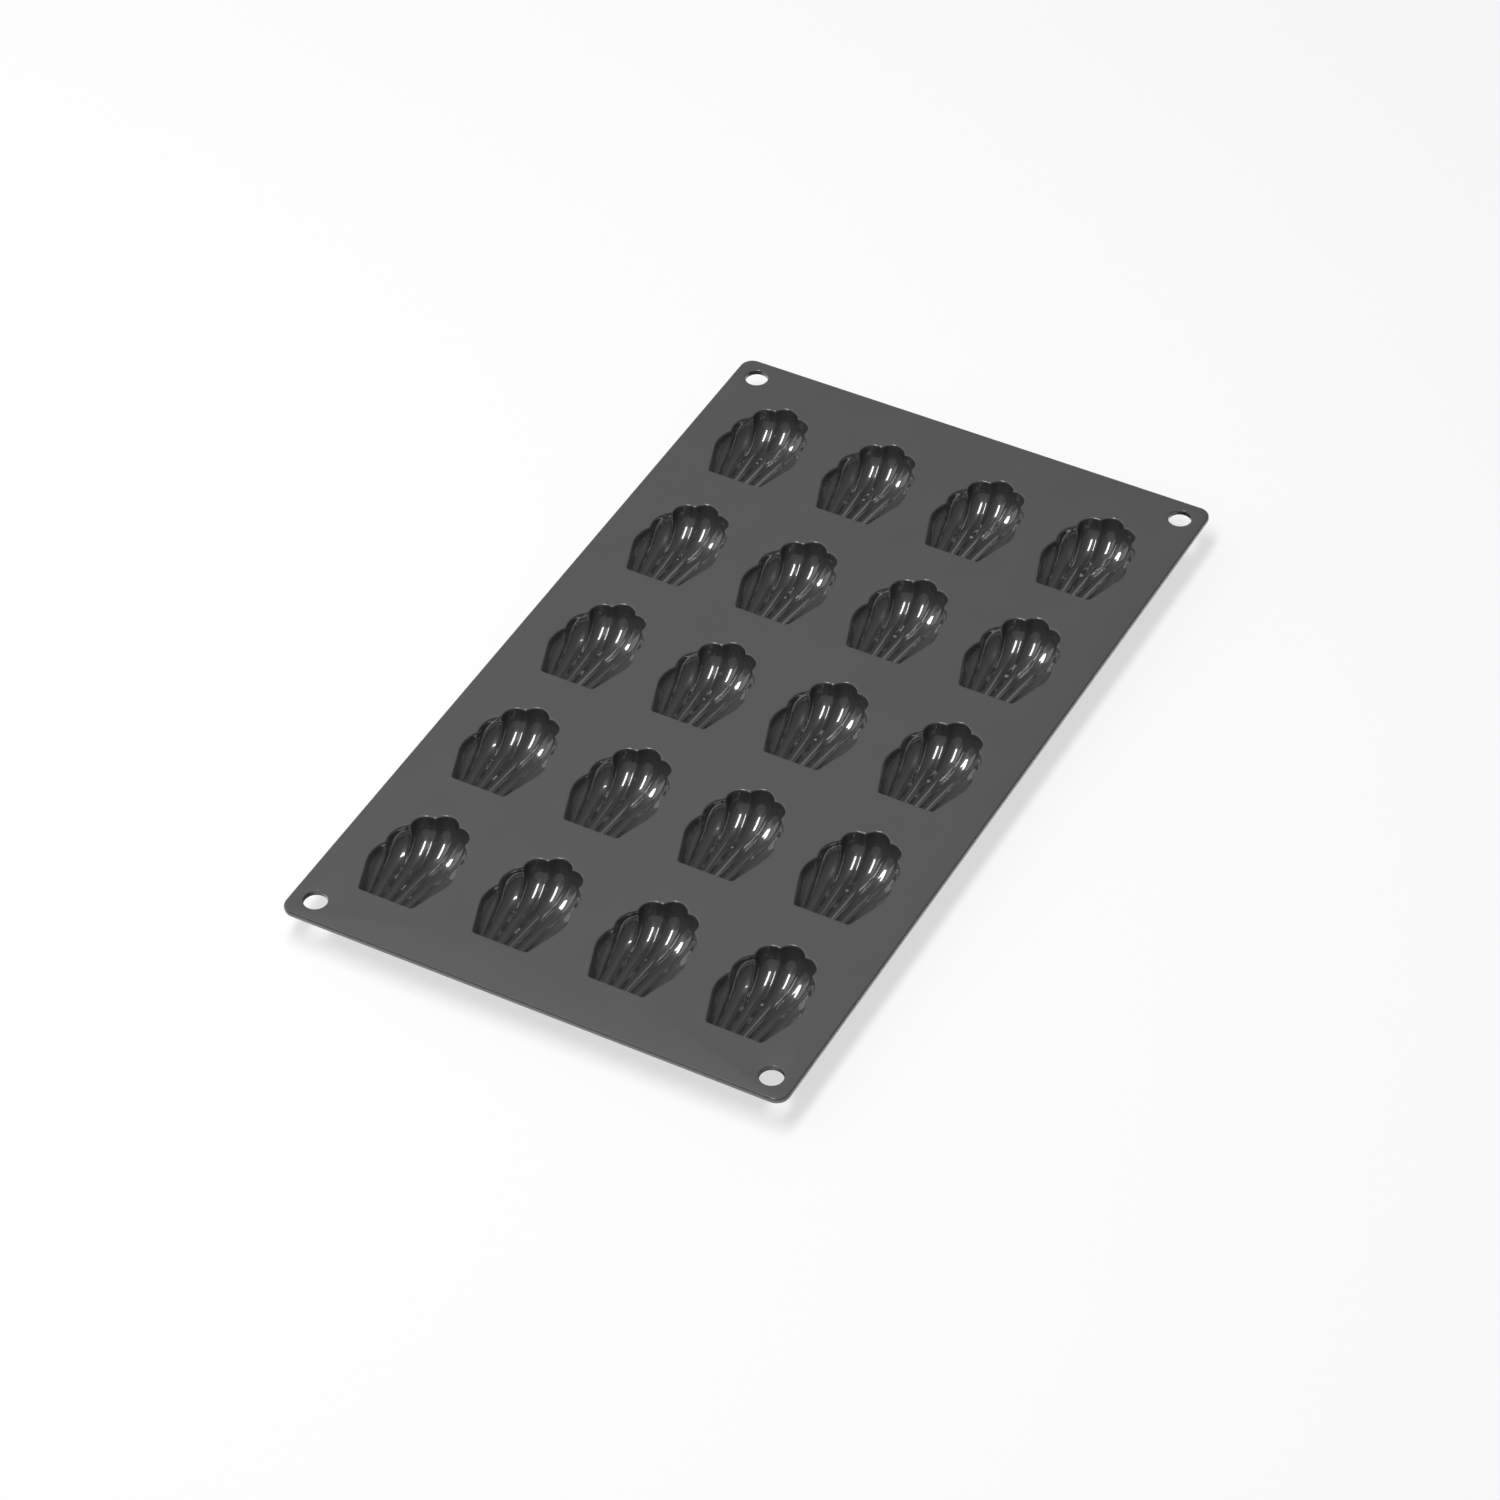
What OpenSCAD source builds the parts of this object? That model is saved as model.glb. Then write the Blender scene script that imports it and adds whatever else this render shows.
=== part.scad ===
// Moulded silicone baking sheet with scallop-shaped cups.
// Millimetres, +Z up. X runs along the short side and Y along the long side.
// Z = 0 is the surface that the cups stand on, under the middle of the sheet.

/* [Sheet] */
// Short side of the sheet, along X
sheet_w = 175; // [172:1:200]
// Long side of the sheet, along Y
sheet_l = 300; // [296:1:340]
// Thickness of the flat sheet
sheet_t = 1.8; // [1.6:0.1:2.4]
// Corner radius of the sheet
corner_r = 4.5; // [1:0.5:8]

/* [Hanging holes] */
// Diameter of the hole in each corner
hole_d = 7.6; // [4:0.2:10]
// Distance from a hole's centre to both edges of the sheet
hole_inset = 8.3; // [7:0.1:10]

/* [Cup layout] */
// Cups side by side along X
columns = 4; // [1:1:4]
// Cups one behind another along Y
rows = 5; // [1:1:5]
// Distance between cup centres along X
column_pitch = 40.5; // [36:0.5:43]
// Distance between cup centres along Y
row_pitch = 55.7; // [46:0.1:57]

/* [Cup mouth] */
// Distance from the cup's centre to the straight base line of its mouth
base_y = 19.7; // [19:0.1:20.4]
// Half width of the mouth at the base line, before its corners are rounded
base_half = 9.4; // [9.3:0.1:9.8]
// Corner radius at both ends of the base line
base_corner_r = 1; // [0.6:0.1:2]
// Length along Y of the straight sides above the base line
side_rise = 11.7; // [11:0.1:12.4]
// Half width of the mouth where the straight sides end
side_half = 13.6; // [13.4:0.1:13.9]
// Half distance between the tips of the first pair of ridges
tip1_half = 4.2; // [3.8:0.1:4.6]
// Distance from the base line to the tips of the first pair
tip1_rise = 36.9; // [36.2:0.1:37.6]
// Half distance between the tips of the second pair of ridges
tip2_half = 9.5; // [9.1:0.1:9.9]
// Distance from the base line to the tips of the second pair
tip2_rise = 31.2; // [30.7:0.1:31.7]
// Half distance between the tips of the third pair of ridges
tip3_half = 12.5; // [12.2:0.1:12.8]
// Distance from the base line to the tips of the third pair
tip3_rise = 21.5; // [21:0.1:22]
// How far the middle flute swells past its tips
swell_0 = 3.1; // [2.5:0.1:3.5]
// How far the flutes next to the middle one swell past their tips
swell_1 = 2.4; // [2:0.1:2.8]
// How far the next flutes swell past their tips
swell_2 = 1.9; // [1.5:0.1:2.3]

/* [Ridges] */
// Distance between neighbouring ridges at the base line
foot_pitch = 3.4; // [3.1:0.1:3.4]
// How the inner ridges spread towards the fan: 1 is straight, more spreads later
inner_bend = 1.65; // [1:0.05:2]
// How the third pair of ridges spreads
outer_bend = 1.25; // [1:0.05:1.6]

/* [Cup depth] */
// Depth of the middle flute below the top of the sheet
cavity_depth = 11; // [10.4:0.1:11.8]
// Depth of the first pair of ridges
ridge1_depth = 9.3; // [8.8:0.1:9.8]
// Depth of the second pair of ridges
ridge2_depth = 7.5; // [7:0.1:8]
// Depth of the third pair of ridges
ridge3_depth = 4.8; // [4.4:0.1:5.4]
// How far the outermost flutes dip below the third ridges
side_dip = 0.6; // [0.3:0.1:1]
// How deep a flute is for its half width, where the base wall ends
base_roundness = 0.9; // [0.7:0.05:1]
// Depth of all the ridges at the foot of the base wall
foot_depth = 6.3; // [5.8:0.1:6.8]
// Radius of the rounded edge round the mouth
mouth_r = 0.6; // [0.4:0.1:0.9]

/* [Walls] */
// Thickness of the cup's wall
wall_t = 1.2; // [1:0.1:1.5]
// Thickness of the cup's floor at its flat foot
floor_t = 1.4; // [1.3:0.1:1.8]
// Width of the lip from the rounded edge to the flat sheet
lip_w = 1; // [0.8:0.1:1.5]

/* [Hidden] */
// How much of the flutes' depth is filled in on the underside
fill_share = 0.45;
// Where along a ridge the base wall ends and where the fan wall starts
wall_end = 0.16;
fan_start = 0.7;
// How square the fan wall's curve is: 1 is an ellipse, less is squarer
fan_power = 0.8;
// Share of the outermost arc that belongs to the fan end
shoulder_share = 0.2;
// Segments across a flute, and across the outermost flute
flute_steps = 4;
side_steps = 3;
// Stations along the ridges: 0 to 1 is the base wall, 1 to 2 the floor, 2 to 3 the fan wall
stations = [0, 0.35, 0.7, 1, 1.5, 2, 2.3, 2.6, 2.85, 3];
under_stations = [0.3, 0.65, 1, 1.65, 2.1, 2.4, 2.65, 2.83];
foot_stations = [1.65, 2.1];
// Where across the middle flute its flat foot ends, and where the outermost underside ends
foot_edge = 0.7;
under_edge = 0.72;
// How far the underside starts below the sheet
under_gap = 1;
nudge = 0.001;

height = cavity_depth + floor_t;
round_fn = 64;

function cup_name(r, c) = str("cup_r", r, "c", c);

function blend(a, b, t) = a + (b - a) * t;
function ease(t) = t * t * (3 - 2 * t);
function unit(v) = v / norm(v);
function turned(v) = [-v.y, v.x];
function bearing(v) = atan2(v.y, v.x);
function spoke(a, r) = r * [cos(a), sin(a)];
function at_z(p, z) = [p.x, p.y, z];
function mirrored(p) = len(p) == 3 ? [-p.x, p.y, p.z] : [-p.x, p.y];
function sided(sign, p) = sign < 0 ? mirrored(p) : p;

// The mouth's right half is a chain of arcs. Arc k runs from tip k to tip k + 1,
// and the last arc runs on into the straight side.
tips = [
    [-tip1_half, tip1_rise - base_y],
    [tip1_half, tip1_rise - base_y],
    [tip2_half, tip2_rise - base_y],
    [tip3_half, tip3_rise - base_y],
    [side_half, side_rise - base_y]
];
swells = [swell_0, swell_1, swell_2];

function chord(k) = tips[k + 1] - tips[k];
function swell_radius(k) =
    let (half = norm(chord(k)) / 2) (half * half + swells[k] * swells[k]) / (2 * swells[k]);
function swell_centre(k) =
    (tips[k] + tips[k + 1]) / 2 + turned(unit(chord(k))) * (swells[k] - swell_radius(k));

side_out = turned(unit([base_half, -base_y] - tips[4]));
side_bearing = bearing(side_out);
shoulder_r = (chord(3) * chord(3)) / (2 * chord(3) * side_out);
arc_radii = [swell_radius(0), swell_radius(1), swell_radius(2), shoulder_r];
arc_centres = [swell_centre(0), swell_centre(1), swell_centre(2), tips[4] - side_out * shoulder_r];
corner_centre = [
    base_half - base_corner_r * (1 + side_out.y) / side_out.x,
    base_corner_r - base_y
];

// Tip k of the mouth's outline when that is moved outwards by d
function tip_at(k, d) =
    let (
        a = arc_centres[k - 1],
        ra = arc_radii[k - 1] + d,
        rb = arc_radii[k] + d,
        gap = norm(arc_centres[k] - a),
        way = unit(arc_centres[k] - a),
        along = (ra * ra - rb * rb + gap * gap) / (2 * gap)
    )
    a + way * along + turned(way) * sqrt(ra * ra - along * along);
function last_bearing(k, d) =
    k == 3 ? side_bearing : bearing(tip_at(k + 1, d) - arc_centres[k]);
function first_bearing(k, d) =
    k == 0 ? 180 - last_bearing(0, d) : bearing(tip_at(k, d) - arc_centres[k]);
function arc_point(k, t, d) =
    arc_centres[k] + spoke(blend(first_bearing(k, d), last_bearing(k, d), t), arc_radii[k] + d);
function fan_rim(k, t, d) = arc_point(k, k == 3 ? t * shoulder_share : t, d);

// The side of the mouth, from the base line up to the shoulder, by shares of its length
corner_len = base_corner_r * (90 + side_bearing) * PI / 180;
side_foot = corner_centre + side_out * base_corner_r;
straight_len = norm(tips[4] - side_foot);
bend_len = shoulder_r * (1 - shoulder_share) * (first_bearing(3, 0) - side_bearing) * PI / 180;
side_len = corner_len + straight_len + bend_len;
corner_end = corner_len / side_len;
straight_end = 1 - bend_len / side_len;
function side_rim(s, d) =
    s < corner_end
        ? corner_centre + spoke(blend(-90, side_bearing, s / corner_end), base_corner_r + d)
        : s < straight_end
            ? blend(side_foot, tips[4], (s - corner_end) / (straight_end - corner_end)) + side_out * d
            : arc_point(3, blend(1, shoulder_share, (s - straight_end) / (1 - straight_end)), d);

// A station gives the share of a ridge's length and the share of its depth on the floor
function station(r) =
    r < 1
        ? [wall_end * (1 - cos(90 * r)), sin(90 * r)]
        : r < 2
            ? [blend(wall_end, fan_start, r - 1), 1]
            : [blend(fan_start, 1, cos(90 * (3 - r))), pow(sin(90 * (3 - r)), fan_power)];

// The ridges start evenly spaced on the base line and curve outwards to their tips.
// They all reach the floor at one depth, and from there each one goes to its own.
ridge_depths = [ridge1_depth, ridge1_depth, ridge2_depth, ridge3_depth];
ridge_bends = [inner_bend, inner_bend, inner_bend, outer_bend];
function floor_depth(k, r) = blend(foot_depth, ridge_depths[k], min(max(r - 1, 0), 1));
function ridge(k, r) =
    let (s = station(r))
    [
        blend(foot_pitch * (k - 0.5), tips[k].x, pow(s[0], ridge_bends[k])),
        blend(-base_y, tips[k].y, s[0]),
        -mouth_r - (floor_depth(k, r) - mouth_r) * s[1]
    ];
function ridge_run(k, r) = unit(ridge(k, min(r + nudge, 3)) - ridge(k, max(r - nudge, 0)));

// A flute is an arc between two ridges, swelling away from the cup's inside
function across(k, r) = ridge(k + 1, r) - ridge(k, r);
function along(k, t, r) = unit(blend(ridge_run(k, r), ridge_run(k + 1, r), t));
function outwards(k, t, r) = unit(cross(along(k, t, r), across(k, r)));
function flute_half(k, r) =
    let (a = across(k, r), u = along(k, 0.5, r)) norm(a - u * (a * u)) / 2;
floor_ratio = (cavity_depth - ridge1_depth) / flute_half(0, 2);
function swell_ratio(k) = 2 * swells[k] / norm(chord(k));
function flute_ratio(k, r) =
    r <= 2
        ? blend(base_roundness, floor_ratio, max(r - 1, 0)) * sin(90 * min(r, 1))
        : blend(floor_ratio, swell_ratio(k), ease(r - 2));
function flute_swell(k, r) = flute_ratio(k, r) * flute_half(k, r);
function flute_sweep(k, r) = max(2 * atan(flute_ratio(k, r)), 1);
function flute_rise(k, t, r) =
    let (sweep = flute_sweep(k, r))
    flute_swell(k, r) * (cos((2 * t - 1) * sweep) - cos(sweep)) / (1 - cos(sweep));
function flute_point(k, t, r) =
    let (sweep = flute_sweep(k, r), share = (1 + sin((2 * t - 1) * sweep) / sin(sweep)) / 2)
    blend(ridge(k, r), ridge(k + 1, r), share) + outwards(k, t, r) * flute_rise(k, t, r);

// The outermost flute curves up from the third ridge to the side of the mouth
function side_point(t, r) =
    let (
        s = station(r),
        foot = ridge(3, r),
        plan = blend([foot.x, foot.y], side_rim(s[0], 0), sin(90 * t)),
        dip = side_dip * s[1] * sin(180 * t)
    )
    at_z(plan, blend(foot.z, -mouth_r, 1 - cos(90 * t)) - dip);
function cup_point(k, t, r) =
    k < 3 ? flute_point(k, t, r) : r == 3 ? at_z(fan_rim(3, t, 0), -mouth_r) : side_point(t, r);

// The underside follows the inside at the wall's thickness, with softer flutes
function under_way(k, t, r) =
    k == 3
        ? unit(blend(outwards(2, 1, r), at_z(side_out, 0), t / under_edge))
        : t == 1 && k < 2
            ? unit(outwards(k, 1, r) + outwards(k + 1, 0, r))
            : outwards(k, t, r);
function under_fill(k, t, r) =
    k == 3
        ? fill_share * flute_swell(2, r) * (1 - t / under_edge)
        : fill_share * (flute_swell(k, r) - flute_rise(k, t, r));
function is_foot(k, r) = k == 0 && r >= foot_stations[0] && r <= foot_stations[1];
function under_point(k, t, r) =
    let (p = cup_point(k, t, r) + under_way(k, t, r) * (wall_t + under_fill(k, t, r)))
    at_z(p, is_foot(k, r) && t < 1 ? -height : max(-height, min(p.z, -sheet_t - under_gap)));

// A column is [side, flute, share across the flute], from the left to the right
function both_sides(right, middle) =
    concat(
        [for (i = [len(right) - 1 : -1 : 0]) concat([-1], right[i])],
        middle,
        [for (c = right) concat([1], c)]
    );
right_lobes = concat(
    [for (j = [flute_steps / 2 + 1 : flute_steps]) [0, j / flute_steps]],
    [for (k = [1, 2]) for (j = [1 : flute_steps]) [k, j / flute_steps]]
);
right_side = [for (j = [1 : side_steps]) [3, j / side_steps]];
middle_line = [[1, 0, 0.5]];
inner_columns = both_sides(concat(right_lobes, right_side), middle_line);
window_columns = both_sides(concat(right_lobes, [[3, 1]]), middle_line);
end_columns = [inner_columns[0], inner_columns[len(inner_columns) - 1]];
under_columns = both_sides(
    concat(
        [[0, foot_edge], [0, 1]],
        [for (k = [1, 2]) for (t = [0.5, 1]) [k, t]],
        [[3, under_edge / 2], [3, under_edge]]
    ),
    []
);

// Marks count once round a mouth: fan 0 to 1, right side 1 to 2, base line 2 to 3, left side 3 to 4
flute_count = 7;
function column_share(c, edge = 1) =
    0.5 + c[0] * (c[1] == 3 ? 2.5 + c[2] / edge : c[1] + c[2] - 0.5) / flute_count;
function inside(list) = [for (i = [1 : len(list) - 2]) list[i]];
function reversed(list) = [for (i = [len(list) - 1 : -1 : 0]) list[i]];
function loop_marks(fan, sides, base, edge = 1) =
    concat(
        [for (c = fan) column_share(c, edge)],
        [for (s = reversed(sides)) 2 - s],
        [for (c = reversed(base)) 3 - column_share(c, edge)],
        [for (s = sides) 3 + s]
    );
function mouth_loop(fan, sides, base, d) =
    concat(
        [for (c = fan) sided(c[0], fan_rim(c[1], c[2], d))],
        [for (s = reversed(sides)) side_rim(s, d)],
        [for (c = reversed(base)) [c[0] * cup_point(c[1], c[2], 0).x, -base_y - d]],
        [for (s = sides) mirrored(side_rim(s, d))]
    );

inner_sides = [for (r = inside(stations)) station(r)[0]];
inner_marks = loop_marks(inner_columns, inner_sides, inner_columns);
window_sides = [corner_end / 2, corner_end, straight_end, (1 + straight_end) / 2];
window_marks = loop_marks(window_columns, window_sides, end_columns);
window_outline = mouth_loop(window_columns, window_sides, end_columns, mouth_r + lip_w);
under_first = station(under_stations[0])[0];
under_last = station(under_stations[len(under_stations) - 1])[0];
under_sides = [
    for (r = inside(under_stations)) (station(r)[0] - under_first) / (under_last - under_first)
];
under_marks = loop_marks(under_columns, under_sides, under_columns, under_edge);

function raised(outline, z) = [for (p = outline) at_z(p, z)];
inner_grid = [for (r = stations) for (c = inner_columns) sided(c[0], cup_point(c[1], c[2], r))];
edge_loop = raised(mouth_loop(inner_columns, inner_sides, inner_columns, mouth_r), 0);
under_grid = [for (r = under_stations) for (c = under_columns) sided(c[0], under_point(c[1], c[2], r))];
cup_points = concat(
    inner_grid, edge_loop, raised(window_outline, 0), raised(window_outline, -sheet_t), under_grid
);

// Index of the first point of each group in cup_points
edge_start = len(inner_grid);
window_start = edge_start + len(edge_loop);
window_foot = window_start + len(window_outline);
under_start = window_foot + len(window_outline);

// The points round the border of a grid, in the same order as the marks
function border(start, wide, high) =
    concat(
        [for (c = [0 : wide - 1]) start + (high - 1) * wide + c],
        [for (j = [high - 2 : -1 : 1]) start + j * wide + wide - 1],
        [for (c = [wide - 1 : -1 : 0]) start + c],
        [for (j = [1 : high - 2]) start + j * wide]
    );
function run_from(start, count) = [for (i = [0 : count - 1]) start + i];

// Triangles between two closed loops, taking the loop whose next mark comes first
function at(list, i) = list[i % len(list)];
function mark(marks, i) = i < len(marks) ? marks[i] : 4 + i - len(marks);
function stitched(a, am, b, bm, i = 0, j = 0) =
    i == len(a) && j == len(b)
        ? []
        : j == len(b) || (i < len(a) && mark(am, i + 1) <= mark(bm, j + 1))
            ? concat([[at(a, i), at(b, j), at(a, i + 1)]], stitched(a, am, b, bm, i + 1, j))
            : concat([[at(a, i), at(b, j), at(b, j + 1)]], stitched(a, am, b, bm, i, j + 1));
function grid_faces(start, wide, high, up) =
    [
        for (j = [0 : high - 2]) for (c = [0 : wide - 2])
            let (a = start + j * wide + c, b = a + wide)
            each up
                ? [[a, b, b + 1], [a, b + 1, a + 1]]
                : [[a, b + 1, b], [a, a + 1, b + 1]]
    ];

inner_border = border(0, len(inner_columns), len(stations));
edge_run = run_from(edge_start, len(edge_loop));
window_run = run_from(window_start, len(window_outline));
foot_run = run_from(window_foot, len(window_outline));
under_border = border(under_start, len(under_columns), len(under_stations));
cup_faces = concat(
    grid_faces(0, len(inner_columns), len(stations), true),
    stitched(inner_border, inner_marks, edge_run, inner_marks),
    stitched(edge_run, inner_marks, window_run, window_marks),
    stitched(window_run, window_marks, foot_run, window_marks),
    stitched(foot_run, window_marks, under_border, under_marks),
    grid_faces(under_start, len(under_columns), len(under_stations), false)
);

function cup_place(r, c) = [
    (c - (columns + 1) / 2) * column_pitch,
    (r - (rows + 1) / 2) * row_pitch,
    height
];

module rounded_plate() {
    corner_x = sheet_w / 2 - corner_r;
    corner_y = sheet_l / 2 - corner_r;
    linear_extrude(sheet_t) {
        square([sheet_w, 2 * corner_y], center = true);
        square([2 * corner_x, sheet_l], center = true);
        for (x = [-corner_x, corner_x]) for (y = [-corner_y, corner_y])
            translate([x, y]) circle(corner_r, $fn = round_fn);
    }
}

// The flat sheet, with a hanging hole in each corner and a window for each cup
module deck() {
    hole_x = sheet_w / 2 - hole_inset;
    hole_y = sheet_l / 2 - hole_inset;
    color([0.34, 0.34, 0.35])
        difference() {
            translate([0, 0, height - sheet_t]) rounded_plate();
            for (x = [-hole_x, hole_x]) for (y = [-hole_y, hole_y])
                translate([x, y, height - 2 * sheet_t])
                    cylinder(h = 3 * sheet_t, d = hole_d, $fn = round_fn);
            for (r = [1 : rows]) for (c = [1 : columns])
                translate(cup_place(r, c) - [0, 0, 2 * sheet_t])
                    linear_extrude(3 * sheet_t) polygon(window_outline);
        }
}

// One fluted cup with its lip, which fills its window in the sheet
module cup(r, c) {
    color([0.22, 0.22, 0.23])
        translate(cup_place(r, c))
            polyhedron(cup_points, cup_faces, convexity = 6);
}

deck();
for (r = [1 : rows]) for (c = [1 : columns])
    cup(r, c);
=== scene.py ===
# %% [markdown]
# # A silicone sheet of shell cups
#
# The object is a single moulding of dark grey silicone: a flat sheet, 300 by 175 mm, with rows of
# small fluted cups sunk into it and a hanging hole in each corner. The sheet is satin, because its
# side of the steel mould is sandblasted, and the cups are glossy, because theirs is polished.
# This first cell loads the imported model, which says where everything is.

# %% Load the frame
import math

import bmesh
import bpy
from mathutils import Matrix, Vector
from mathutils.geometry import delaunay_2d_cdt


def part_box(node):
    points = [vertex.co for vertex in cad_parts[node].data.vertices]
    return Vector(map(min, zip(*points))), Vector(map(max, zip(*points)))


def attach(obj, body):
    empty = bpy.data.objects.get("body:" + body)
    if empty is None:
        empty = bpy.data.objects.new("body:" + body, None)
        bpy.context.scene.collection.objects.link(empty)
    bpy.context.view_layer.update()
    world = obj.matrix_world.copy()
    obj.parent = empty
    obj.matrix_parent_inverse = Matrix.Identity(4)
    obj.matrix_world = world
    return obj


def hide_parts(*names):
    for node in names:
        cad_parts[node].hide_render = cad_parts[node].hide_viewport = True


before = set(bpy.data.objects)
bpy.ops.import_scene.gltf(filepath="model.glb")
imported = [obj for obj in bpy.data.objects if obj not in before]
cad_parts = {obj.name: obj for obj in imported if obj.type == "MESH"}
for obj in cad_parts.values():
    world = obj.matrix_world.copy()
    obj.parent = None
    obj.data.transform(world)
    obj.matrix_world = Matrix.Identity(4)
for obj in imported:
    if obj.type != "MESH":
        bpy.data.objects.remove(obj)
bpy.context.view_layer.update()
mm = 0.001
print("nodes in the frame:", len(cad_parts))

# %% [markdown]
# ## Places taken from the frame
#
# The sheet's top, its thickness and the cups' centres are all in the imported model. Reading them
# there, and not writing them again, keeps the finished surfaces on the solids they stand for.

# %% Places of the sheet and the cups
sheet_low, sheet_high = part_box("deck")
sheet_top = sheet_high.z
sheet_under = sheet_low.z
mouth_r = 0.6 * mm
lip_w = 1.0 * mm
base_y = 19.7 * mm
cup_names = sorted(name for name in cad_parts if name.startswith("cup_"))


def cup_place(name):
    """The middle of a cup's mouth: half way across, and base_y behind its base line."""
    low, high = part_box(name)
    return Vector(((low.x + high.x) / 2, low.y + mouth_r + lip_w + base_y, sheet_top))


print("sheet thickness", round((sheet_top - sheet_under) / mm, 2), "mm, cups", len(cup_names))

# %% [markdown]
# ## Small helpers
#
# A shell is all curves between curves, so nearly every point below is a blend of two others.
# These few helpers keep those formulas short.

# %% Helpers for points


def blend(a, b, t):
    return a + (b - a) * t


def ease(t):
    return t * t * (3 - 2 * t)


def sin_deg(a):
    return math.sin(math.radians(a))


def cos_deg(a):
    return math.cos(math.radians(a))


def turned(v):
    return Vector((-v.y, v.x))


def bearing(v):
    return math.degrees(math.atan2(v.y, v.x))


def spoke(angle, r):
    return Vector((r * cos_deg(angle), r * sin_deg(angle)))


def at_z(p, z):
    return Vector((p.x, p.y, z))


def sided(sign, p):
    """Mirrors a point to the left half where sign is negative."""
    return Vector((sign * p.x, *p[1:]))


# %% [markdown]
# ## The mouth of a cup
#
# Seen from above, a cup's mouth is a scallop: a straight base line at the front, two straight
# sides, and seven arcs round the fan end that meet in sharp tips. The right half is a chain of
# four arcs, and the left half is its mirror image. Each arc keeps its centre when the outline is
# moved outwards, so the tips of the moved outline are found again where the larger arcs cross.

# %% Outline of the mouth
tips = [
    Vector((-4.2, 17.2)) * mm,
    Vector((4.2, 17.2)) * mm,
    Vector((9.5, 11.5)) * mm,
    Vector((12.5, 1.8)) * mm,
    Vector((13.6, -8.0)) * mm,
]
swells = [3.1 * mm, 2.4 * mm, 1.9 * mm]
base_half = 9.4 * mm
base_corner_r = 1.0 * mm
shoulder_share = 0.2


def chord(k):
    return tips[k + 1] - tips[k]


def swell_radius(k):
    half = chord(k).length / 2
    return (half**2 + swells[k] ** 2) / (2 * swells[k])


def swell_centre(k):
    middle = (tips[k] + tips[k + 1]) / 2
    return middle + turned(chord(k).normalized()) * (swells[k] - swell_radius(k))


side_out = turned((Vector((base_half, -base_y)) - tips[4]).normalized())
side_bearing = bearing(side_out)
shoulder_r = chord(3).dot(chord(3)) / (2 * chord(3).dot(side_out))
arc_radii = [swell_radius(k) for k in range(3)] + [shoulder_r]
arc_centres = [swell_centre(k) for k in range(3)] + [tips[4] - side_out * shoulder_r]
corner_centre = Vector((
    base_half - base_corner_r * (1 + side_out.y) / side_out.x,
    base_corner_r - base_y,
))


def tip_at(k, d):
    """Tip k of the outline when that is moved outwards by d."""
    ra = arc_radii[k - 1] + d
    rb = arc_radii[k] + d
    gap = arc_centres[k] - arc_centres[k - 1]
    way = gap.normalized()
    along = (ra**2 - rb**2 + gap.length**2) / (2 * gap.length)
    return arc_centres[k - 1] + way * along + turned(way) * math.sqrt(ra**2 - along**2)


def last_bearing(k, d):
    return side_bearing if k == 3 else bearing(tip_at(k + 1, d) - arc_centres[k])


def first_bearing(k, d):
    return 180 - last_bearing(0, d) if k == 0 else bearing(tip_at(k, d) - arc_centres[k])


def arc_point(k, t, d):
    angle = blend(first_bearing(k, d), last_bearing(k, d), t)
    return arc_centres[k] + spoke(angle, arc_radii[k] + d)


def fan_rim(k, t, d):
    return arc_point(k, t * shoulder_share if k == 3 else t, d)


print("arc radii", [round(r / mm, 2) for r in arc_radii], "mm")

# %% [markdown]
# The side of the mouth is one path from the base line up to the shoulder: the small corner arc,
# the straight side, and the first part of the outermost arc. A share of its length finds a point.

# %% Side of the mouth
corner_len = base_corner_r * math.radians(90 + side_bearing)
side_foot = corner_centre + side_out * base_corner_r
straight_len = (tips[4] - side_foot).length
bend_angle = (1 - shoulder_share) * (first_bearing(3, 0) - side_bearing)
bend_len = shoulder_r * math.radians(bend_angle)
side_len = corner_len + straight_len + bend_len
corner_end = corner_len / side_len
straight_end = 1 - bend_len / side_len


def side_rim(s, d):
    if s < corner_end:
        angle = blend(-90, side_bearing, s / corner_end)
        return corner_centre + spoke(angle, base_corner_r + d)
    if s < straight_end:
        share = (s - corner_end) / (straight_end - corner_end)
        return blend(side_foot, tips[4], share) + side_out * d
    share = (s - straight_end) / (1 - straight_end)
    return arc_point(3, blend(1, shoulder_share, share), d)


print("side of the mouth", round(side_len / mm, 1), "mm long")

# %% [markdown]
# ## The inside of a cup
#
# Six ridges start evenly spaced on the base line, run nearly side by side over the floor, and
# then spread and climb to the tips of the mouth. Between two ridges lies a flute, a hollow like
# half a pipe. The whole inside is therefore worked out from the ridges: a station says how far
# along a ridge a point is and how deep, and an arc joins two ridges at the same station. A
# subdivided box pulled into shape by hand would lose the even fan that makes the cake a shell.

# %% Ridges
cavity_depth = 11 * mm
ridge_depths = [9.3 * mm, 9.3 * mm, 7.5 * mm, 4.8 * mm]
ridge_bends = [1.65, 1.65, 1.65, 1.25]
foot_pitch = 3.4 * mm
wall_end = 0.16
fan_start = 0.7
foot_depth = 6.3 * mm
fan_power = 0.8
side_dip = 0.6 * mm
base_roundness = 0.9
nudge = 0.001


def station(r):
    """Share of a ridge's length and of its floor depth: base wall, floor, then fan wall."""
    if r < 1:
        return wall_end * (1 - cos_deg(90 * r)), sin_deg(90 * r)
    if r < 2:
        return blend(wall_end, fan_start, r - 1), 1
    turn = 90 * (3 - r)
    return blend(fan_start, 1, cos_deg(turn)), max(sin_deg(turn), 0) ** fan_power


def floor_depth(k, r):
    """All ridges reach the floor at one depth, and from there each one goes to its own."""
    return blend(foot_depth, ridge_depths[k], min(max(r - 1, 0), 1))


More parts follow.
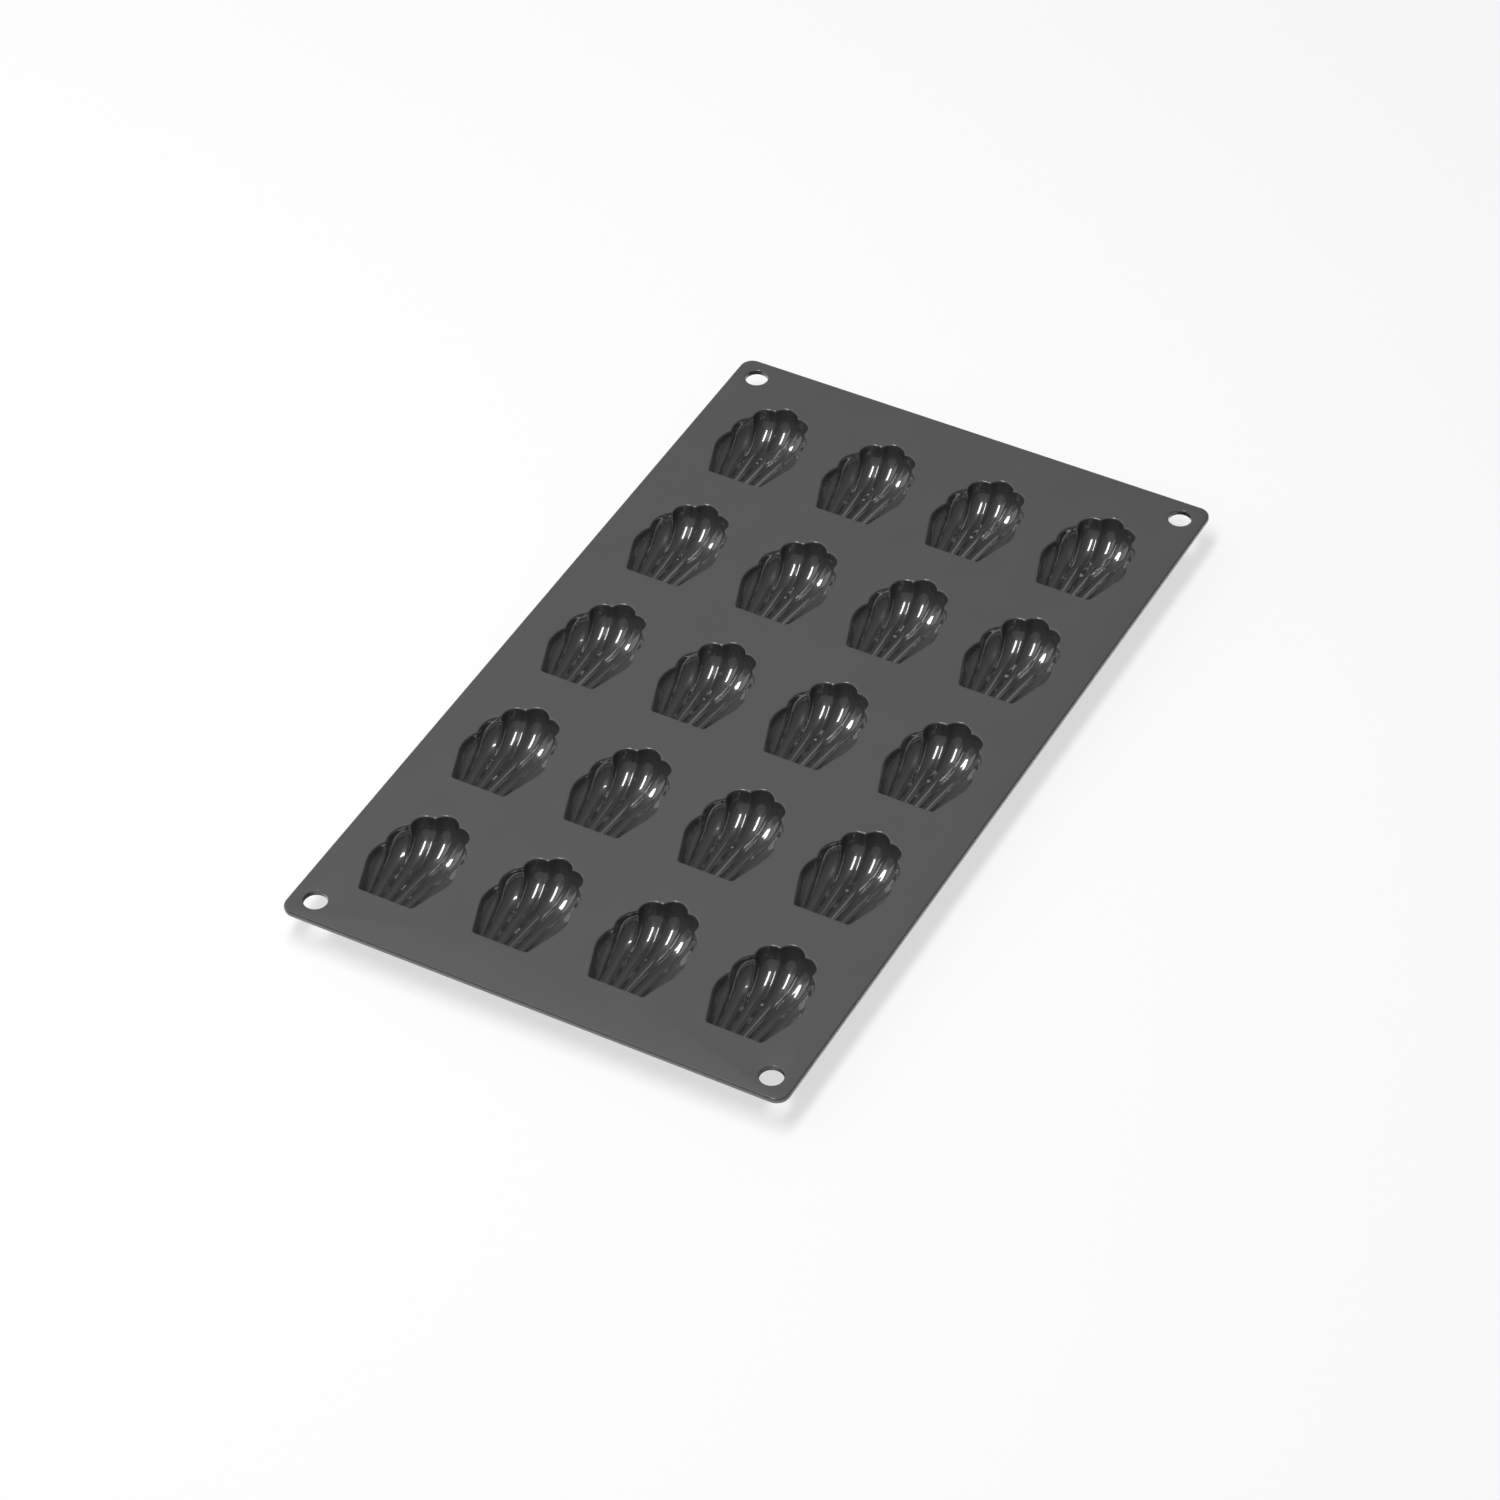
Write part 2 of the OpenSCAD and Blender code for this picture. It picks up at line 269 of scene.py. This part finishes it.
def ridge(k, r):
    length_share, depth_share = station(r)
    x = blend(foot_pitch * (k - 0.5), tips[k].x, length_share ** ridge_bends[k])
    y = blend(-base_y, tips[k].y, length_share)
    return Vector((x, y, -mouth_r - (floor_depth(k, r) - mouth_r) * depth_share))


def ridge_run(k, r):
    return (ridge(k, min(r + nudge, 3)) - ridge(k, max(r - nudge, 0))).normalized()


print("deepest ridge", round(-ridge(1, 2).z / mm, 2), "mm")

# %% Flutes between the ridges


def along(k, t, r):
    return blend(ridge_run(k, r), ridge_run(k + 1, r), t).normalized()


def across(k, r):
    return ridge(k + 1, r) - ridge(k, r)


def outwards(k, t, r):
    return along(k, t, r).cross(across(k, r)).normalized()


def flute_half(k, r):
    a = across(k, r)
    u = along(k, 0.5, r)
    return (a - u * a.dot(u)).length / 2


floor_ratio = (cavity_depth - ridge_depths[1]) / flute_half(0, 2)


def flute_ratio(k, r):
    """How deep a flute is for its half width: flat at the base line, then round, then open."""
    if r <= 2:
        return blend(base_roundness, floor_ratio, max(r - 1, 0)) * sin_deg(90 * min(r, 1))
    return blend(floor_ratio, 2 * swells[k] / chord(k).length, ease(r - 2))


def flute_sweep(k, r):
    return max(math.degrees(2 * math.atan(flute_ratio(k, r))), 1)


def flute_swell(k, r):
    return flute_ratio(k, r) * flute_half(k, r)


def flute_rise(k, t, r):
    sweep = flute_sweep(k, r)
    share = (cos_deg((2 * t - 1) * sweep) - cos_deg(sweep)) / (1 - cos_deg(sweep))
    return flute_swell(k, r) * share


def flute_point(k, t, r):
    sweep = flute_sweep(k, r)
    share = (1 + sin_deg((2 * t - 1) * sweep) / sin_deg(sweep)) / 2
    return blend(ridge(k, r), ridge(k + 1, r), share) + outwards(k, t, r) * flute_rise(k, t, r)


def side_point(t, r):
    """The outermost flute curves up from the third ridge to the side of the mouth."""
    length_share, depth_share = station(r)
    foot = ridge(3, r)
    plan = blend(foot.xy, side_rim(length_share, 0), sin_deg(90 * t))
    dip = side_dip * depth_share * sin_deg(180 * t)
    height = blend(foot.z, -mouth_r, 1 - cos_deg(90 * t)) - dip
    shoulder = fan_rim(3, t, 0) - blend(tips[3], side_rim(1, 0), sin_deg(90 * t))
    return at_z(plan + shoulder * ease(max(r - 2, 0)), height)


def cup_point(k, t, r):
    return flute_point(k, t, r) if k < 3 else side_point(t, r)


print("depth of the middle flute", round(-cup_point(0, 0.5, 2).z / mm, 2), "mm")

# %% [markdown]
# ## The underside of a cup
#
# A silicone wall is about as thick everywhere, so the underside repeats the flutes, only softer:
# the ridges are filled in by part of the flutes' depth. Under the middle flute lies a small flat
# foot, and the cups stand on these feet.

# %% Underside
wall_t = 1.2 * mm
fill_share = 0.45
under_edge = 0.72
under_gap = 1.0 * mm
under_first = 0.3
under_last = 2.83
foot_start = 1.65
foot_end = 2.1
foot_edge = 0.7


def under_way(k, t, r):
    if k == 3:
        return blend(outwards(2, 1, r), at_z(side_out, 0), t / under_edge).normalized()
    if t == 1 and k < 2:
        return (outwards(k, 1, r) + outwards(k + 1, 0, r)).normalized()
    return outwards(k, t, r)


def under_point(k, t, r):
    if k == 3:
        fill = flute_swell(2, r) * (1 - t / under_edge)
    else:
        fill = flute_swell(k, r) - flute_rise(k, t, r)
    p = cup_point(k, t, r) + under_way(k, t, r) * (wall_t + fill_share * fill)
    on_foot = k == 0 and t <= foot_edge and foot_start <= r <= foot_end
    highest = sheet_under - sheet_top - under_gap
    return at_z(p, -sheet_top if on_foot else max(-sheet_top, min(p.z, highest)))


print("underside at the middle", round(under_point(0, 0.5, 2).z / mm, 2), "mm")

# %% [markdown]
# ## From formula to mesh
#
# A cup is two grids, inside and underside, joined round the border by a stack of loops: the
# rounded edge of the mouth, the flat lip, the lip's wall against the sheet, and the turn to the
# underside. All the loops have the same number of points, so each pair is joined by plain quads.

# %% Columns across the flutes and rows along them
flute_steps = 12
side_steps = 8
base_rows = 10
floor_rows = 12
fan_rows = 20
edge_steps = 5


def both_sides(right):
    left = [(-1, k, t) for k, t in reversed(right)]
    return left + [(1, 0, 0.5)] + [(1, k, t) for k, t in right]


right_lobes = [(0, j / flute_steps) for j in range(flute_steps // 2 + 1, flute_steps + 1)]
right_lobes += [(k, j / flute_steps) for k in (1, 2) for j in range(1, flute_steps + 1)]
side_lobe = [(3, j / side_steps) for j in range(1, side_steps + 1)]
columns = both_sides(right_lobes + side_lobe)
rows = [j / base_rows for j in range(base_rows)]
rows += [1 + j / floor_rows for j in range(floor_rows)]
rows += [2 + j / fan_rows for j in range(fan_rows + 1)]


def under_column(column):
    sign, k, t = column
    return sign, k, t * under_edge if k == 3 else t


def under_row(r):
    return blend(under_first, under_last, r / 3)


print("columns", len(columns), "rows", len(rows))

# %% Loops round the mouth


def mouth_loop(d, z):
    """The outline moved outwards by d: fan end, right side, base line, left side."""
    shares = [station(r)[0] for r in rows[1:-1]]
    fan = [sided(sign, fan_rim(k, t, d)) for sign, k, t in columns]
    right = [side_rim(s, d) for s in reversed(shares)]
    base = [Vector((sign * cup_point(k, t, 0).x, -base_y - d)) for sign, k, t in reversed(columns)]
    left = [sided(-1, side_rim(s, d)) for s in shares]
    return [at_z(p, z) for p in fan + right + base + left]


def border(wide, high):
    """Numbers of a grid's border points, in the same order as a mouth loop."""
    top = [(high - 1) * wide + c for c in range(wide)]
    right = [j * wide + wide - 1 for j in range(high - 2, 0, -1)]
    bottom = list(range(wide - 1, -1, -1))
    left = [j * wide for j in range(1, high - 1)]
    return top + right + bottom + left


def grid_quads(start, wide, high, up):
    quads = []
    for j in range(high - 1):
        for c in range(wide - 1):
            a = start + j * wide + c
            quad = (a, a + 1, a + 1 + wide, a + wide)
            quads.append(quad if up else quad[::-1])
    return quads


def ring_quads(a, b):
    count = len(a)
    return [(a[i], a[(i + 1) % count], b[(i + 1) % count], b[i]) for i in range(count)]


print("points in a loop", len(border(len(columns), len(rows))))

# %% Points and faces of one cup
wide, high = len(columns), len(rows)
cup_points = [sided(sign, cup_point(k, t, r)) for r in rows for sign, k, t in columns]
loops = [border(wide, high)]
inner_points = set(range(wide * high)) - set(loops[0])
soft_points = set(range(wide * high))


def add_loop(points, soft=False):
    start = len(cup_points)
    cup_points.extend(points)
    loops.append(list(range(start, start + len(points))))
    if soft:
        soft_points.update(loops[-1])


for step in range(1, edge_steps + 1):
    turn = 90 * step / edge_steps
    add_loop(mouth_loop(mouth_r * (1 - cos_deg(turn)), -mouth_r * (1 - sin_deg(turn))), soft=True)
add_loop(mouth_loop(mouth_r + lip_w / 3, 0))
window_loop = mouth_loop(mouth_r + lip_w, 0)
add_loop(window_loop)
add_loop(mouth_loop(mouth_r + lip_w, sheet_under - sheet_top))
under_start = len(cup_points)
for r in rows:
    for column in columns:
        sign, k, t = under_column(column)
        cup_points.append(sided(sign, under_point(k, t, under_row(r))))
loops.append([under_start + i for i in border(wide, high)])
cup_faces = grid_quads(0, wide, high, True)
for inner, outer in zip(loops, loops[1:]):
    cup_faces += [quad[::-1] for quad in ring_quads(inner, outer)]
cup_faces += grid_quads(under_start, wide, high, False)
print("points in a cup", len(cup_points), "faces", len(cup_faces))

# %% [markdown]
# The ridges and the tips of the mouth are knife edges in the formula. On the real moulding they
# are slightly rounded, as the mould was polished, and that rounding is what catches the light as
# a thin bright line. A few smoothing passes over the inside give it. The rounded edge of the
# mouth gets one pass only, so that its tips stay crisp, and the flat lip stays as it is.

# %% Build the cups
soften_passes = [soft_points, inner_points, inner_points]
soften_share = 0.5
sharp_angle = 50


def finished_mesh(name, points, faces, passes=()):
    mesh = bpy.data.meshes.new(name)
    bm = bmesh.new()
    verts = [bm.verts.new(p) for p in points]
    for face in faces:
        bm.faces.new([verts[i] for i in face])
    for numbers in passes:
        soft = [verts[i] for i in sorted(numbers)]
        bmesh.ops.smooth_vert(
            bm,
            verts=soft,
            factor=soften_share,
            use_axis_x=True,
            use_axis_y=True,
            use_axis_z=True,
        )
    bmesh.ops.recalc_face_normals(bm, faces=bm.faces[:])
    bm.to_mesh(mesh)
    bm.free()
    for polygon in mesh.polygons:
        polygon.use_smooth = True
    mesh.set_sharp_from_angle(angle=math.radians(sharp_angle))
    return mesh


def add_piece(name, mesh, node):
    piece = bpy.data.objects.new(name, mesh)
    bpy.context.scene.collection.objects.link(piece)
    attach(piece, "root")
    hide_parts(node)
    return piece


cup_mesh = finished_mesh("cup_form", cup_points, cup_faces, soften_passes)
cup_pieces = []
for name in cup_names:
    mesh = cup_mesh.copy()
    mesh.name = name + "_form"
    place = cup_place(name)
    for vertex in mesh.vertices:
        vertex.co += place
    cup_pieces.append(add_piece(name + "_silicone", mesh, name))
bpy.data.meshes.remove(cup_mesh)
print("cups built", len(cup_pieces))

# %% [markdown]
# ## The flat sheet
#
# The sheet is a plate with a rounded rim, four round holes with rounded lips, and a window for
# each cup that is exactly the cup's own lip outline, so that no seam shows. Cutting the windows
# with a boolean would leave long thin faces, so the flat faces are filled between outlines by a
# constrained triangulation, and the rims are rings of quads.

# %% Outlines of the sheet
corner_r = 4.5 * mm
rim_r = 0.7 * mm
hole_r = 3.8 * mm
hole_edge_r = 0.45 * mm
hole_inset = 8.3 * mm
under_share = 0.5
corner_steps = 16
hole_steps = 64
rim_steps = 5
middle = (sheet_low + sheet_high) / 2
half_size = (sheet_high - sheet_low) / 2


def sheet_loop(inset, z):
    """The sheet's outline drawn in by inset, counter-clockwise."""
    points = []
    for quarter, (sx, sy) in enumerate(((1, 1), (-1, 1), (-1, -1), (1, -1))):
        corner = Vector((sx * (half_size.x - corner_r), sy * (half_size.y - corner_r)))
        for j in range(corner_steps + 1):
            angle = 90 * (quarter + j / corner_steps)
            points.append(at_z(middle.xy + corner + spoke(angle, corner_r - inset), z))
    return points


def hole_loop(centre, grow, z):
    return [
        at_z(centre + spoke(360 * j / hole_steps, hole_r + grow), z) for j in range(hole_steps)
    ]


def edge_turn(radius, z_flat, sign):
    """Steps of a rounded edge from its flat face to its wall, as (inset from the wall, height)."""
    turns = [90 * j / rim_steps for j in range(rim_steps + 1)]
    return [(radius * (1 - sin_deg(a)), z_flat - sign * radius * (1 - cos_deg(a))) for a in turns]


def full_edge(radius):
    """From the top face to the underside, where the edge is rounded less."""
    upper = edge_turn(radius, sheet_top, 1)
    lower = edge_turn(radius * under_share, sheet_under, -1)
    return upper + lower[::-1]


hole_centres = [
    middle.xy + Vector((sx * (half_size.x - hole_inset), sy * (half_size.y - hole_inset)))
    for sx in (-1, 1)
    for sy in (-1, 1)
]
print("hanging holes at", [tuple(round(c / mm, 1) for c in centre) for centre in hole_centres])

# %% Build the sheet
sheet_points = []
sheet_faces = []
triangles_inside = 1
merge_distance = 1e-9


def add_points(points):
    start = len(sheet_points)
    sheet_points.extend(points)
    return list(range(start, start + len(points)))


def add_stack(stack):
    """Joins a stack of loops by quads and gives its first and last loops."""
    numbered = [add_points(points) for points in stack]
    for upper, lower in zip(numbered, numbered[1:]):
        sheet_faces.extend(ring_quads(upper, lower))
    return numbered[0], numbered[-1]


def fill_between(outer, inner_loops):
    """Fills the flat face inside the outer loop and outside the inner ones."""
    numbers = outer + [i for loop in inner_loops for i in loop]
    place = {number: j for j, number in enumerate(numbers)}
    flat = [sheet_points[i].xy for i in numbers]
    rings = [outer] + inner_loops
    edges = [(place[a], place[b]) for ring in rings for a, b in zip(ring, ring[1:] + ring[:1])]
    found = delaunay_2d_cdt(flat, edges, [], triangles_inside, merge_distance)
    spots, _, triangles, sources, _, _ = found
    keep_out = [[flat[place[i]] for i in loop] for loop in inner_loops]
    for face in triangles:
        centre = sum((spots[i] for i in face), Vector((0, 0))) / len(face)
        if not any(inside(centre, ring) for ring in keep_out):
            sheet_faces.append([numbers[sources[i][0]] for i in face])


def inside(point, ring):
    """True where a line from the point crosses the ring an odd number of times."""
    odd = False
    for a, b in zip(ring, ring[1:] + ring[:1]):
        if (a.y > point.y) != (b.y > point.y):
            if point.x < a.x + (b.x - a.x) * (point.y - a.y) / (b.y - a.y):
                odd = not odd
    return odd


rim = full_edge(rim_r)
top_rim, under_rim = add_stack([sheet_loop(inset, z) for inset, z in rim])
lip = full_edge(hole_edge_r)
hole_ends = [add_stack([hole_loop(centre, grow, z) for grow, z in lip]) for centre in hole_centres]
window_ends = []
for name in cup_names:
    place = cup_place(name)
    upper = [point + place for point in window_loop]
    window_ends.append(add_stack([upper, [at_z(point, sheet_under) for point in upper]]))
fill_between(top_rim, [ends[0] for ends in hole_ends + window_ends])
fill_between(under_rim, [ends[1] for ends in hole_ends + window_ends])
sheet_mesh = finished_mesh("sheet_form", sheet_points, sheet_faces)
sheet_piece = add_piece("sheet_silicone", sheet_mesh, "deck")
print("sheet faces", len(sheet_faces))

# %% [markdown]
# ## Shader maths
#
# Node trees are easier to read as sums. A Wire holds one output socket, and its operators add
# the Math nodes. Any other node comes from one function that takes its type, its settings and
# what goes into its sockets.

# %% Wires and nodes
mix_colours_in = (6, 7)
mix_colour_out = 2


def add_node(tree, kind, settings=None, inputs=None):
    node = tree.nodes.new(kind)
    for key, value in (settings or {}).items():
        setattr(node, key, value)
    for key, value in (inputs or {}).items():
        if isinstance(value, Wire):
            tree.links.new(value.socket, node.inputs[key])
        else:
            node.inputs[key].default_value = value
    return node


class Wire:
    """One output socket, with sums written as sums."""

    def __init__(self, socket):
        self.socket = socket
        self.tree = socket.id_data

    def maths(self, operation, *values):
        inputs = dict(enumerate(values))
        node = add_node(self.tree, "ShaderNodeMath", {"operation": operation}, inputs)
        return Wire(node.outputs[0])

    def __add__(self, other):
        return self.maths("ADD", self, other)

    def __sub__(self, other):
        return self.maths("SUBTRACT", self, other)

    def __rsub__(self, other):
        return self.maths("SUBTRACT", other, self)

    def __mul__(self, other):
        return self.maths("MULTIPLY", self, other)

    def __truediv__(self, other):
        return self.maths("DIVIDE", self, other)

    __radd__ = __add__
    __rmul__ = __mul__

    def clamped(self):
        return self.maths("MINIMUM", self.maths("MAXIMUM", self, 0.0), 1.0)


def mixed(tree, share, a, b):
    """Mixes two colours."""
    settings = {"data_type": "RGBA"}
    node = add_node(tree, "ShaderNodeMix", settings, {"Factor": share})
    for key, value in zip(mix_colours_in, (a, b)):
        if isinstance(value, Wire):
            tree.links.new(value.socket, node.inputs[key])
        else:
            node.inputs[key].default_value = value
    return Wire(node.outputs[mix_colour_out])


def scaled(tree, colour, factor):
    """Makes a colour darker or lighter."""
    inputs = {0: colour, "Scale": factor}
    return Wire(add_node(tree, "ShaderNodeVectorMath", {"operation": "SCALE"}, inputs).outputs[0])


def noise(tree, where, scale, detail):
    inputs = {"Vector": where, "Scale": scale, "Detail": detail}
    return Wire(add_node(tree, "ShaderNodeTexNoise", None, inputs).outputs["Fac"])


print("shader helpers ready")

# %% [markdown]
# ## The silicone
#
# The whole moulding is one material. What differs is the polish: satin on the sheet, glossy in
# the cups, with the change on the rounded edge of the mouth. The sheet's colour is also painted a
# little lighter than the cups' grey, a painted sheen over the same pigment, fading out on that
# edge.
# Nothing is quite even: flour and fingers leave a faint cloudiness, the sheet has the grain of
# the blasted steel, and the polished cups keep the long, shallow waves of the polishing.

# %% Silicone material
# The sheet's grey is the cups' silicone grey made lighter as a painted sheen; the pigment is the
# same.
sheet_grey_painted_sheen = (0.079, 0.079, 0.080, 1)
cup_grey = (0.036, 0.036, 0.037, 1)
sheet_roughness = 0.52
cup_roughness = 0.38
# The polish share below also fades out the painted sheen of the sheet's lighter grey.
polish_and_sheen_fade_start = 0.01 * mm
polish_and_sheen_fade_full = 0.30 * mm
cloud_scale = 60.0
grain_scale = 3500.0
wave_scale = 450.0
cloud_on_colour = 0.12
cloud_on_roughness = 0.05
bump_strength = 0.25
bump_height = 0.03 * mm
silicone_ior = 1.43
polish_ior = 1.85
polish_roughness = 0.05


def silicone():
    material = bpy.data.materials.new("dark_silicone")
    material.use_nodes = True
    tree = material.node_tree
    tree.nodes.clear()
    place = Wire(add_node(tree, "ShaderNodeTexCoord").outputs["Object"])
    split = add_node(tree, "ShaderNodeSeparateXYZ", None, {0: place})
    depth = sheet_top - Wire(split.outputs["Z"])
    polish_and_sheen_fade = ((depth - polish_and_sheen_fade_start) / (polish_and_sheen_fade_full - polish_and_sheen_fade_start)).clamped()
    cloud = noise(tree, place, cloud_scale, detail=3.0)
    grain = noise(tree, place, grain_scale, detail=2.0)
    waves = noise(tree, place, wave_scale, detail=1.0)
    # Painted sheen: the lighter sheet grey fades into the cups' grey as the polish comes in.
    sheen_painted_grey = mixed(tree, polish_and_sheen_fade, sheet_grey_painted_sheen, cup_grey)
    base = scaled(tree, sheen_painted_grey, 1 + (cloud - 0.5) * cloud_on_colour)
    rough = sheet_roughness + (cup_roughness - sheet_roughness) * polish_and_sheen_fade
    rough = rough + (cloud - 0.5) * cloud_on_roughness
    bump = add_node(
        tree,
        "ShaderNodeBump",
        None,
        {
            "Strength": bump_strength,
            "Distance": bump_height,
            "Height": grain * (1 - polish_and_sheen_fade) + waves * polish_and_sheen_fade,
        },
    )
    shader = add_node(
        tree,
        "ShaderNodeBsdfPrincipled",
        None,
        {
            "Base Color": base,
            "Roughness": rough,
            "IOR": silicone_ior,
            "Coat Weight": polish_and_sheen_fade,
            "Coat IOR": polish_ior,
            "Coat Roughness": polish_roughness,
            "Normal": Wire(bump.outputs[0]),
        },
    )
    output = add_node(tree, "ShaderNodeOutputMaterial")
    tree.links.new(shader.outputs[0], output.inputs["Surface"])
    return material


skin = silicone()
for piece in cup_pieces + [sheet_piece]:
    piece.data.materials.append(skin)
print("silicone on", len(cup_pieces) + 1, "pieces")

# %% [markdown]
# ## Floor and light
#
# The sheet stands on a plain white floor under soft studio light. The floor is seen as white
# where it is fully lit, and keeps the soft shadow of the sheet.

# %% Floor
floor_half = 3.0
floor_glow = 0.65
floor_gap = 0.02 * mm
floor_white = (0.95, 0.95, 0.95, 1)
full_white = (1, 1, 1, 1)


def flat_square(name, half, z):
    mesh = bpy.data.meshes.new(name)
    corners = [(-half, -half, z), (half, -half, z), (half, half, z), (-half, half, z)]
    mesh.from_pydata(corners, [], [(0, 1, 2, 3)])
    square = bpy.data.objects.new(name, mesh)
    bpy.context.scene.collection.objects.link(square)
    return square


def lit_floor():
    """White floor that the camera sees partly as lit from within, like a light table."""
    material = bpy.data.materials.new("floor_white")
    material.use_nodes = True
    tree = material.node_tree
    tree.nodes.clear()
    plain = add_node(tree, "ShaderNodeBsdfDiffuse", None, {"Color": floor_white})
    glow = add_node(tree, "ShaderNodeEmission", None, {"Color": full_white, "Strength": 1.0})
    seen = Wire(add_node(tree, "ShaderNodeLightPath").outputs["Is Camera Ray"])
    mix = add_node(tree, "ShaderNodeMixShader", None, {0: seen * floor_glow})
    tree.links.new(plain.outputs[0], mix.inputs[1])
    tree.links.new(glow.outputs[0], mix.inputs[2])
    output = add_node(tree, "ShaderNodeOutputMaterial")
    tree.links.new(mix.outputs[0], output.inputs["Surface"])
    return material


floor = flat_square("floor", floor_half, -floor_gap)
floor.data.materials.append(lit_floor())
print("floor", 2 * floor_half, "m wide")

# %% World and lamps
room_light = 0.16
backdrop_light = 1.0
world = bpy.data.worlds.new("studio")
bpy.context.scene.world = world
world.use_nodes = True
tree = world.node_tree
tree.nodes.clear()
rays = add_node(tree, "ShaderNodeLightPath")
seen = Wire(rays.outputs["Is Camera Ray"])
room_inputs = {"Color": full_white, "Strength": room_light}
room = add_node(tree, "ShaderNodeBackground", None, room_inputs)
backdrop_inputs = {"Color": full_white, "Strength": backdrop_light}
backdrop = add_node(tree, "ShaderNodeBackground", None, backdrop_inputs)
choice = add_node(tree, "ShaderNodeMixShader", None, {0: seen})
tree.links.new(room.outputs[0], choice.inputs[1])
tree.links.new(backdrop.outputs[0], choice.inputs[2])
sky = add_node(tree, "ShaderNodeOutputWorld")
tree.links.new(choice.outputs[0], sky.inputs["Surface"])


def soft_box(name, towards, distance, size, watts, turn=0):
    """An area lamp in the given direction, facing the sheet, its length along Y before the turn."""
    lamp = bpy.data.lights.new(name, "AREA")
    lamp.shape = "RECTANGLE"
    lamp.size, lamp.size_y = size
    lamp.energy = watts
    holder = bpy.data.objects.new(name, lamp)
    bpy.context.scene.collection.objects.link(holder)
    way = Vector(towards).normalized()
    holder.location = middle + way * distance
    wide = Vector((0, 1, 0)).cross(way).normalized()
    facing = Matrix((wide, way.cross(wide), way)).transposed()
    holder.rotation_euler = (facing @ Matrix.Rotation(math.radians(turn), 3, "Z")).to_euler()


soft_box(
    "key_box", towards=(-0.12, -0.18, 0.98), distance=1.5, size=(0.36, 1.20), watts=18.5, turn=10
)
soft_box("front_box", towards=(0.25, -0.90, 0.35), distance=3.0, size=(5.0, 3.0), watts=5.5)
soft_box("left_box", towards=(-0.85, -0.10, 0.50), distance=0.95, size=(1.1, 0.9), watts=2.4)
soft_box("back_box", towards=(-0.33, 0.85, 0.34), distance=2.0, size=(1.4, 0.7), watts=1.7)
print("lamps placed")

# %% [markdown]
# ## Camera
#
# The camera stands in front of the sheet and to its right, well above it, and far away with a
# long lens, so that the sheet's parallel edges stay nearly parallel.

# %% Camera
lens_mm = 126.5
sensor_mm = 36.0
camera_azimuth = 29.3
camera_elevation = 43.3
camera_distance = 1.657
camera_roll = -1.2
aim = Vector((0.00675, -0.02152, sheet_top))

camera_data = bpy.data.cameras.new("camera")
camera_data.sensor_fit = "HORIZONTAL"
camera_data.sensor_width = sensor_mm
camera_data.lens = lens_mm
camera = bpy.data.objects.new("camera", camera_data)
bpy.context.scene.collection.objects.link(camera)
level = cos_deg(camera_elevation)
away = Vector((
    level * sin_deg(camera_azimuth),
    -level * cos_deg(camera_azimuth),
    sin_deg(camera_elevation),
))
camera.location = aim + away * camera_distance
facing = away.to_track_quat("Z", "Y").to_matrix()
roll = Matrix.Rotation(math.radians(camera_roll), 3, "Z")
camera.rotation_euler = (facing @ roll).to_euler()
bpy.context.scene.camera = camera
bpy.context.scene.view_settings.view_transform = "Standard"
print("camera at", [round(c, 3) for c in camera.location])
